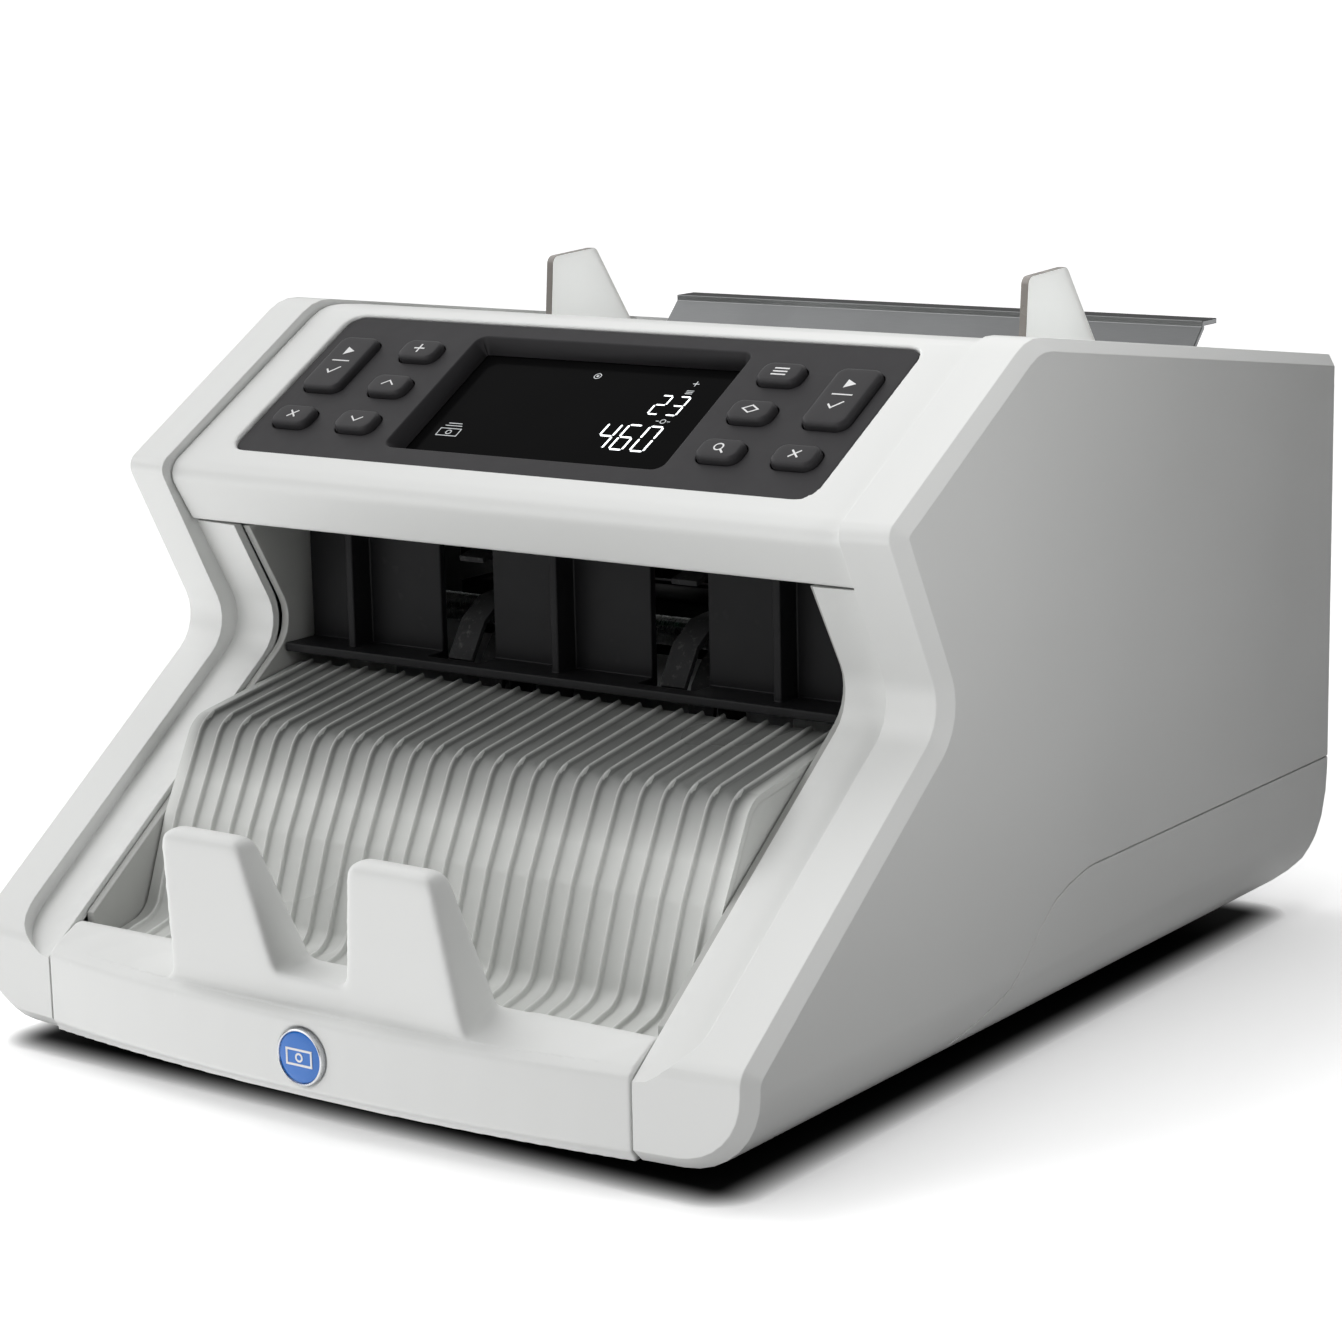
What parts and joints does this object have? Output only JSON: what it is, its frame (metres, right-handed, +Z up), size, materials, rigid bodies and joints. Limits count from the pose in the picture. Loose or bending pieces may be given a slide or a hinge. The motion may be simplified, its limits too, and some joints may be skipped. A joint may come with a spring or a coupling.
{
  "type": "banknote counter",
  "caption": "Desktop banknote counting machine: white wedge body, top rear note hopper, sloping dark key panel with a display, and a ribbed pocket at the front behind a lip with upright stops.",
  "frame": {"origin": "middle of the overall width and depth, at the surface that the feet stand on", "axes": "+X to the right as the user sees it, +Y from the front lip to the rear panel, +Z up"},
  "size_m": [0.25, 0.3128, 0.1925],
  "materials": {
    "housing_white": "fine moulded texture, satin",
    "foot_rubber": "matt",
    "badge_blue": "glossy, silver edge",
    "pocket_grey": "satin",
    "ramp_grey": "smoky, half clear",
    "black_plastic": "satin",
    "wheel_rubber": "matt",
    "retard_rubber": "matt",
    "steel": "rolled sheet",
    "motor_metal": "plated",
    "panel_dark": "fine texture, satin",
    "key_dark": "satin",
    "display_black": "polished",
    "board_green": "lacquered board",
    "board_blue": "lacquered board",
    "hopper_grey": "satin",
    "guide_white": "milky, polished",
    "gear_white": "acetal",
    "pulley_black": "moulded"
  },
  "bodies": {
    "housing": {"right_side_panel": "housing_white", "left_side_panel": "housing_white", "base_housing": "housing_white", "front_left_foot": "foot_rubber", "front_right_foot": "foot_rubber", "rear_left_foot": "foot_rubber", "rear_right_foot": "foot_rubber", "front_lip": "housing_white", "front_badge": "badge_blue", "right_stacker_wall": "pocket_grey", "left_stacker_wall": "pocket_grey", "stacker_ramp": "ramp_grey", "stacker_back_guide": "black_plastic", "head_cover": "housing_white", "control_bezel": "panel_dark", "display_window": "display_black", "display_module": "board_green", "keypad_board": "board_green", "hopper_tray": "hopper_grey", "hopper_support_plate": "steel", "right_frame_plate": "steel", "left_frame_plate": "steel", "retard_roller": "retard_rubber", "upper_sensor_bar": "black_plastic", "lower_sensor_bar": "black_plastic", "drive_motor": "motor_metal", "drive_belt": "wheel_rubber", "stacker_belt": "wheel_rubber", "pickup_belt": "wheel_rubber", "main_board": "board_green", "power_supply": "board_blue", "rear_panel": "housing_white", "hatch_hinge_pin": "steel", "power_inlet": "black_plastic", "data_port": "black_plastic"},
    "start_key_left": {"start_key_left": "key_dark"},
    "clear_key_left": {"clear_key_left": "key_dark"},
    "add_key": {"add_key": "key_dark"},
    "up_key": {"up_key": "key_dark"},
    "down_key": {"down_key": "key_dark"},
    "batch_key": {"batch_key": "key_dark"},
    "mode_key": {"mode_key": "key_dark"},
    "detect_key": {"detect_key": "key_dark"},
    "start_key_right": {"start_key_right": "key_dark"},
    "clear_key_right": {"clear_key_right": "key_dark"},
    "power_rocker": {"power_rocker": "black_plastic"},
    "rear_hatch": {"rear_hatch": "housing_white"},
    "right_note_guide": {"right_note_guide": "guide_white"},
    "left_note_guide": {"left_note_guide": "guide_white"},
    "guide_pinion": {"guide_pinion": "gear_white"},
    "motor_drive": {"motor_pulley": "steel"},
    "feed_drive": {"feed_roller": "wheel_rubber", "feed_pulley": "pulley_black", "feed_transfer_pulley": "pulley_black"},
    "stacker_drive": {"stacker_shaft": "steel", "left_stacker_wheel": "wheel_rubber", "right_stacker_wheel": "wheel_rubber", "stacker_pulley": "pulley_black"},
    "pickup_drive": {"pickup_roller": "wheel_rubber", "pickup_pulley": "pulley_black"}
  },
  "joints": [
    {"name": "start_key_left_press", "type": "slide", "parent": "housing", "child": "start_key_left", "axis": [0, 0.5, -0.866], "range_m": [0, 0.001], "stiffness_N_per_m": 800},
    {"name": "clear_key_left_press", "type": "slide", "parent": "housing", "child": "clear_key_left", "axis": [0, 0.5, -0.866], "range_m": [0, 0.001], "stiffness_N_per_m": 800},
    {"name": "add_key_press", "type": "slide", "parent": "housing", "child": "add_key", "axis": [0, 0.5, -0.866], "range_m": [0, 0.001], "stiffness_N_per_m": 800},
    {"name": "up_key_press", "type": "slide", "parent": "housing", "child": "up_key", "axis": [0, 0.5, -0.866], "range_m": [0, 0.001], "stiffness_N_per_m": 800},
    {"name": "down_key_press", "type": "slide", "parent": "housing", "child": "down_key", "axis": [0, 0.5, -0.866], "range_m": [0, 0.001], "stiffness_N_per_m": 800},
    {"name": "batch_key_press", "type": "slide", "parent": "housing", "child": "batch_key", "axis": [0, 0.5, -0.866], "range_m": [0, 0.001], "stiffness_N_per_m": 800},
    {"name": "mode_key_press", "type": "slide", "parent": "housing", "child": "mode_key", "axis": [0, 0.5, -0.866], "range_m": [0, 0.001], "stiffness_N_per_m": 800},
    {"name": "detect_key_press", "type": "slide", "parent": "housing", "child": "detect_key", "axis": [0, 0.5, -0.866], "range_m": [0, 0.001], "stiffness_N_per_m": 800},
    {"name": "start_key_right_press", "type": "slide", "parent": "housing", "child": "start_key_right", "axis": [0, 0.5, -0.866], "range_m": [0, 0.001], "stiffness_N_per_m": 800},
    {"name": "clear_key_right_press", "type": "slide", "parent": "housing", "child": "clear_key_right", "axis": [0, 0.5, -0.866], "range_m": [0, 0.001], "stiffness_N_per_m": 800},
    {"name": "power_rocker_tilt", "type": "hinge", "parent": "housing", "child": "power_rocker", "pos_m": [0.022, 0.14915, 0.063], "axis": [-1, 0, 0], "range_deg": [0, 18]},
    {"name": "rear_hatch_hinge", "type": "hinge", "parent": "housing", "child": "rear_hatch", "pos_m": [0, 0.15515, 0.081], "axis": [-1, 0, 0], "range_deg": [0, 100]},
    {"name": "note_guide_slide", "type": "slide", "parent": "housing", "child": "right_note_guide", "axis": [1, 0, 0], "range_m": [-0.028, 0.009]},
    {"name": "left_note_guide_slide", "type": "slide", "parent": "housing", "child": "left_note_guide", "axis": [1, 0, 0], "range_m": [-0.009, 0.028]},
    {"name": "guide_pinion_turn", "type": "hinge", "parent": "housing", "child": "guide_pinion", "pos_m": [0, 0.03975, 0.1365], "axis": [0, 0.5511, 0.8344], "range_deg": [-201, 65]},
    {"name": "feed_spin", "type": "hinge", "parent": "housing", "child": "feed_drive", "pos_m": [0, 0.08975, 0.1034], "axis": [1, 0, 0], "continuous": true},
    {"name": "motor_spin", "type": "hinge", "parent": "housing", "child": "motor_drive", "pos_m": [0, 0.10215, 0.045], "axis": [1, 0, 0], "continuous": true},
    {"name": "stacker_spin", "type": "hinge", "parent": "housing", "child": "stacker_drive", "pos_m": [0, -0.01185, 0.1], "axis": [1, 0, 0], "continuous": true},
    {"name": "pickup_spin", "type": "hinge", "parent": "housing", "child": "pickup_drive", "pos_m": [0, 0.11325, 0.1319], "axis": [1, 0, 0], "continuous": true}
  ],
  "couplings": [
    {"joint": "left_note_guide_slide", "follows": "note_guide_slide", "ratio": -1},
    {"joint": "guide_pinion_turn", "follows": "note_guide_slide", "rad_per_m": 125},
    {"joint": "motor_spin", "follows": "feed_spin", "ratio": 1.7143},
    {"joint": "stacker_spin", "follows": "feed_spin", "ratio": 0.85714},
    {"joint": "pickup_spin", "follows": "feed_spin", "ratio": 1}
  ]
}
